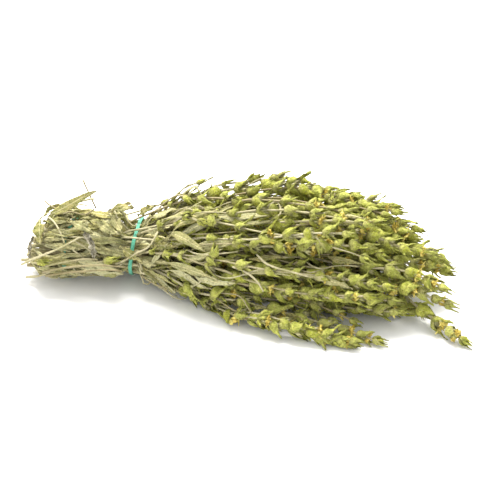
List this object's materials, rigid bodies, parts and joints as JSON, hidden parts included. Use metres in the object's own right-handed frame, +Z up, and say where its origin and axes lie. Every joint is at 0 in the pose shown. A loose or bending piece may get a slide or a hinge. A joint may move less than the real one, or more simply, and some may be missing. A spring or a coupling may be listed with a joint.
{
  "type": "dried herb bunch",
  "caption": "Tied bunch of dried leafy flowering mountain tea stems lying on its side, held by two thin elastic bands.",
  "frame": {"origin": "middle of the footprint, on the surface that the bunch lies on", "axes": "+X along the stems, from the cut ends to the flower tips; +Z up, away from the surface; +Y towards the far side"},
  "size_m": [0.335, 0.1368, 0.0777],
  "materials": {
    "dried_herb": "matt, felted dry plant",
    "green_band": "satin elastic"
  },
  "bodies": {
    "root": {"stem_01": "dried_herb", "stem_02": "dried_herb", "stem_03": "dried_herb", "stem_04": "dried_herb", "stem_05": "dried_herb", "stem_06": "dried_herb", "stem_07": "dried_herb", "stem_08": "dried_herb", "stem_09": "dried_herb", "stem_10": "dried_herb", "stem_11": "dried_herb", "stem_12": "dried_herb", "stem_13": "dried_herb", "stem_14": "dried_herb", "stem_15": "dried_herb", "stem_16": "dried_herb", "stem_17": "dried_herb", "stem_18": "dried_herb", "stem_19": "dried_herb", "stem_20": "dried_herb", "stem_21": "dried_herb", "stem_22": "dried_herb", "stem_23": "dried_herb", "stem_24": "dried_herb", "stem_25": "dried_herb", "stem_26": "dried_herb", "stem_27": "dried_herb", "stem_28": "dried_herb", "stem_29": "dried_herb", "stem_30": "dried_herb", "stem_31": "dried_herb", "stem_32": "dried_herb", "stem_33": "dried_herb", "stem_34": "dried_herb", "stem_35": "dried_herb", "stem_36": "dried_herb", "stem_37": "dried_herb", "stem_38": "dried_herb", "stem_39": "dried_herb", "stem_40": "dried_herb", "band_middle": "green_band", "band_end": "green_band"}
  },
  "joints": []
}
